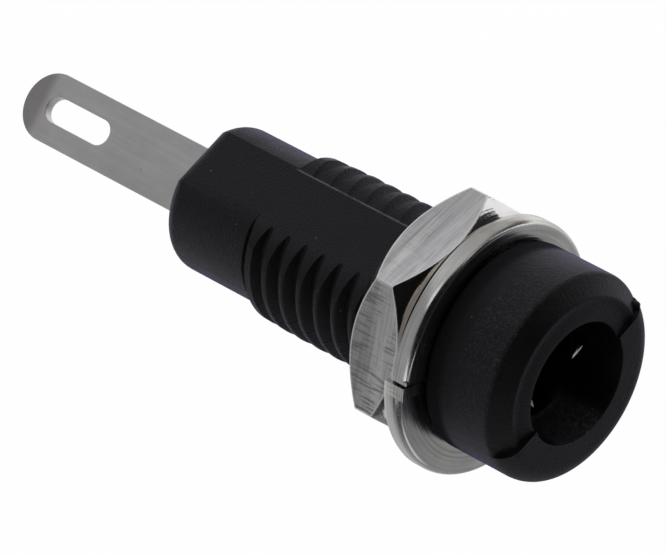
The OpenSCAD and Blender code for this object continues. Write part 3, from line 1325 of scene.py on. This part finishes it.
@dataclass
class HexNut:
    """Chamfered hexagon nut on the stem's thread."""

    thread: ScrewThread
    across: float = 10.85
    front: float = 1.35
    thick: float = 2.67
    turn: float = -6.4
    face_inset: float = 0.02
    corner_round: float = 0.09
    edge: float = 0.035
    play: float = 0.1
    bevel: float = 0.4
    past_corner: float = 0.2
    past_face: float = 0.1
    crease: float = 24.0
    piece: bpy.types.Object = field(init=False)

    @property
    def corner_r(self) -> float:
        """Distance of the corners from the axis."""
        return self.across / math.sqrt(3)

    @property
    def rear(self) -> float:
        """Place of the rear face."""
        return self.front + self.thick

    def build(self) -> None:
        """Cuts the hexagon to its chamfers and threads its hole."""
        self.piece = self.hexagon()
        Bench.combine(self.piece, self.envelope(), Join.KEEP)
        Bench.soften(self.piece, self.edge, segments=2, angle=25.0)
        Bench.combine(self.piece, self.hole(), Join.CUT)
        Bench.combine(self.piece, self.thread.ridge("nut_thread", self.play), Join.CUT)
        Bench.hand_over(self.piece, self.crease, "hex_nut", "nut_plated")

    def hexagon(self) -> bpy.types.Object:
        """The hexagon bar, with its six corner edges rounded a little."""
        Bench.pick()
        bpy.ops.mesh.primitive_cylinder_add(
            vertices=6,
            radius=self.corner_r,
            depth=self.thick,
            location=(0, (self.front + self.rear) / 2, 0),
            rotation=(math.pi / 2, 0, 0),
        )
        bar = Bench.named("hex_nut_turned")
        Bench.settle()
        points = bar.data.vertices
        first = max(points, key=lambda v: v.co.x)
        Bench.turn(bar, self.turn - math.degrees(math.atan2(first.co.z, first.co.x)))
        Bench.pick_bare(bar)
        for side in bar.data.edges:
            a, b = (points[i].co for i in side.vertices)
            side.select = abs(a.y - b.y) > self.thick / 2
        bpy.context.tool_settings.mesh_select_mode = (False, True, False)
        bpy.ops.object.mode_set(mode="EDIT")
        bpy.ops.mesh.bevel(offset=self.corner_round, segments=3, affect="EDGES")
        bpy.context.tool_settings.mesh_select_mode = (True, False, False)
        bpy.ops.object.mode_set(mode="OBJECT")
        return bar

    def envelope(self) -> bpy.types.Object:
        """The turned space that the nut keeps to, with a 45 degree chamfer at each end."""
        face_r, wide = self.across / 2 - self.face_inset, self.corner_r + self.past_corner
        drop = wide - face_r
        section = [
            (0, self.front),
            (face_r, self.front),
            (wide, self.front + drop),
            (wide, self.rear - drop),
            (face_r, self.rear),
            (0, self.rear),
        ]
        return Bench.lathe("nut_envelope", section, False)

    def hole(self) -> bpy.types.Object:
        """The space of the hole up to the thread's foot, opened at both ends."""
        minor = self.thread.root_r + self.play
        opened = self.thread.crest_r + self.play + self.bevel
        reach, over = opened - minor, self.past_face
        section = [
            (0, self.front - over),
            (opened + over, self.front - over),
            (minor, self.front + reach),
            (minor, self.rear - reach),
            (opened + over, self.rear + over),
            (0, self.rear + over),
        ]
        return Bench.lathe("nut_hole", section, False)

    def dress(self) -> None:
        """Gives the nut its nickel."""
        finish = BrightNickel(self.across, self.turn, self.front, self.rear, self.face_inset)
        finish.make().coat(self.piece)


@dataclass
class PhotoCamera:
    """The photograph's camera: its directions and place in the part's frame, in millimetres."""

    target: Point3 = (0.0, 7.379, 0.0)
    back: Point3 = (-0.3273, -0.5777, 0.7478)
    right: Point3 = (0.6321, -0.7220, -0.2812)
    up: Point3 = (0.7023, 0.3807, 0.6015)
    distance: float = 277.03
    focal_px: float = 6286.5
    centre_px: Point2 = (46.8, 2.66)
    clip: Point2 = (10.0, 20000.0)

    def build(self) -> None:
        """Adds the camera, aimed so that the picture needs no shift."""
        back, right, up = (Vector(v).normalized() for v in (self.back, self.right, self.up))
        across, down = self.centre_px
        ahead = (-back * self.focal_px - right * across + up * down).normalized()
        side = ahead.cross(up).normalized()
        top = side.cross(ahead)
        place = (Vector(self.target) + back * self.distance) * MM
        data = bpy.data.cameras.new("photo_camera")
        data.sensor_width = SENSOR_WIDTH
        data.lens = self.focal_px / IMAGE_WIDTH * SENSOR_WIDTH
        data.clip_start, data.clip_end = (reach * MM for reach in self.clip)
        camera = bpy.data.objects.new("photo_camera", data)
        turned = Matrix((side, top, -ahead)).transposed().to_4x4()
        camera.matrix_world = Matrix.Translation(place) @ turned
        bpy.context.scene.collection.objects.link(camera)
        bpy.context.scene.camera = camera

    def toward(self, right: float, up: float, back: float) -> Vector:
        """A direction given by its parts along the camera's own directions."""
        way = Vector(self.right) * right + Vector(self.up) * up + Vector(self.back) * back
        return way.normalized()


def even(shine: float) -> tuple[Point2, Point2]:
    """The stops of a card that is equally bright all over."""
    return (0.0, shine), (1.0, shine)


@dataclass(frozen=True)
class Card:
    """A plain card, seen by reflections only, whose brightness changes along one direction.

    Its place is along the camera's right, up and back, or along X, Y and Z if level.
    """

    name: str
    way: Point3
    far: float
    size: float
    stops: Sequence[Point2]
    axis: Point3 = (1.0, 0.0, 0.0)
    level: bool = False

    def build(self, camera: PhotoCamera) -> None:
        """Stands the card around the part, facing it."""
        heading = Vector(self.way) if self.level else camera.toward(*self.way)
        Bench.pick()
        bpy.ops.mesh.primitive_plane_add(
            size=self.size * MM,
            location=(Vector(camera.target) + heading * self.far) * MM,
            rotation=heading.to_track_quat("Z", "Y").to_euler(),
        )
        card = Bench.named(self.name)
        Bench.settle()
        card.data.materials.append(self.paint())
        card.visible_camera = card.visible_diffuse = card.visible_shadow = False

    def paint(self) -> bpy.types.Material:
        """The card's glow, from stops of millimetres along the axis and brightness."""
        paint = bpy.data.materials.new(self.name)
        paint.use_nodes = True
        paint.cycles.emission_sampling = "NONE"
        nodes = Nodes(paint.node_tree)
        place = nodes.value("ShaderNodeTexCoord", {}, {}, "Object")
        settings = {"operation": "DOT_PRODUCT"}
        along = nodes.value("ShaderNodeVectorMath", settings, {0: place, 1: self.axis}, "Value")
        first, last = self.stops[0][0], self.stops[-1][0]
        sockets = {"Value": along, "From Min": first * MM, "From Max": last * MM}
        share = nodes.value("ShaderNodeMapRange", {}, sockets, "Result")
        ramp = nodes.add("ShaderNodeValToRGB", {}, {"Fac": share})
        marks = ramp.color_ramp.elements
        while len(marks) < len(self.stops):
            marks.new(0.5)
        for mark, (where, shine) in zip(marks, self.stops):
            mark.position = (where - first) / (last - first)
            mark.color = (shine, shine, shine, 1.0)
        colour = Value(nodes, ramp.outputs["Color"])
        nodes.show(nodes.value("ShaderNodeEmission", {}, {"Color": colour}, 0))
        return paint


@dataclass(frozen=True)
class Lamp:
    """A square soft lamp, placed along the camera's right, up and back, that faces the part."""

    name: str
    way: Point3
    far: float
    size: float
    watts: float

    def build(self, camera: PhotoCamera) -> None:
        """Hangs the lamp; reflections don't show it."""
        heading = camera.toward(*self.way)
        data = bpy.data.lights.new(self.name, "AREA")
        data.energy = self.watts
        data.size = self.size * MM
        lamp = bpy.data.objects.new(self.name, data)
        lamp.location = (Vector(camera.target) + heading * self.far) * MM
        lamp.rotation_euler = heading.to_track_quat("Z", "Y").to_euler()
        lamp.visible_glossy = False
        bpy.context.scene.collection.objects.link(lamp)


@dataclass
class Studio:
    """White surroundings, cards that shape the reflections, two soft lamps and a pale floor."""

    camera: PhotoCamera
    world_fill: float = 0.7
    floor_z: float = -60.0
    floor_size: float = 6000.0
    floor_colour: Colour = (0.85, 0.85, 0.85)
    floor_roughness: float = 0.9
    floor_glow: float = 0.9
    cards: Sequence[Card] = (
        Card(
            "top_card",
            (0, 1, 0),
            300.0,
            640.0,
            ((-60.0, 0.475), (110.0, 0.475), (190.0, 0.1)),
            PhotoCamera.right,
        ),
        Card("left_card", (-1, 0, 0), 300.0, 640.0, even(0.29)),
        Card("right_card", (0.91, -0.1, 0.4), 300.0, 500.0, even(0.02)),
        Card("front_card", (0, 0, 1), 320.0, 640.0, even(0.006)),
        Card("corner_card", (-0.464, -0.578, -0.672), 51.8, 28.0, even(0.65), level=True),
        Card(
            "under_card",
            (0, 0, -1),
            45.0,
            900.0,
            (
                (-110.0, 0.03),
                (-60.0, 0.08),
                (-25.0, 0.23),
                (-8.0, 0.29),
                (10.0, 0.45),
                (60.0, 0.75),
                (95.0, 1.0),
            ),
            (0.6, 0.8, 0.0),
            level=True,
        ),
    )
    lamps: Sequence[Lamp] = (
        Lamp("key_lamp", (-0.15, 1.0, 0.25), 280.0, 90.0, 0.35),
        Lamp("side_lamp", (-0.8, 0.35, 0.3), 280.0, 120.0, 0.1),
    )

    def build(self) -> None:
        """Sets up the world, the floor, the cards and the lamps."""
        self.surround()
        self.floor()
        for item in (*self.cards, *self.lamps):
            item.build(self.camera)
        bpy.context.scene.view_settings.view_transform = "Standard"

    def surround(self) -> None:
        """White for the eye and for reflections, softer as light on matt surfaces."""
        world = bpy.data.worlds.new("white_surround")
        world.use_nodes = True
        world.cycles.sampling_method = "NONE"
        bpy.context.scene.world = world
        nodes = Nodes(world.node_tree)
        sockets = {"Value": nodes.seen(), "To Min": self.world_fill, "To Max": 1.0}
        level = nodes.value("ShaderNodeMapRange", {}, sockets, "Result")
        sky = world.node_tree.nodes["Background"]
        nodes.feed(sky, {"Color": (1, 1, 1, 1), "Strength": level})

    def floor(self) -> None:
        """A wide pale floor, white to the eye, that keeps a soft shadow."""
        Bench.pick()
        bpy.ops.mesh.primitive_plane_add(
            size=self.floor_size * MM, location=(0, 0, self.floor_z * MM)
        )
        floor = Bench.named("pale_floor")
        paint = bpy.data.materials.new("pale_floor")
        paint.use_nodes = True
        nodes = Nodes(paint.node_tree)
        matt = paint.node_tree.nodes["Principled BSDF"]
        looks = {"Base Color": (*self.floor_colour, 1.0), "Roughness": self.floor_roughness}
        nodes.feed(matt, looks)
        glow = nodes.value("ShaderNodeEmission", {}, {}, 0)
        share = nodes.seen() * self.floor_glow
        both = {0: share, 1: Value(nodes, matt.outputs[0]), 2: glow}
        nodes.show(nodes.value("ShaderNodeMixShader", {}, both, 0))
        floor.data.materials.append(paint)


def main() -> None:
    """Builds and dresses each sub-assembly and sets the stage."""
    logging.basicConfig(level=logging.INFO, format="%(name)s: %(message)s")
    thread = ScrewThread()
    for part in (InsulatedBody(thread), SpringContact(), LockWasher(), HexNut(thread)):
        part.build()
        part.dress()
        LOG.info("%s is dressed", part.piece.name)
    camera = PhotoCamera()
    camera.build()
    Studio(camera).build()


if __name__ == "__main__":
    main()
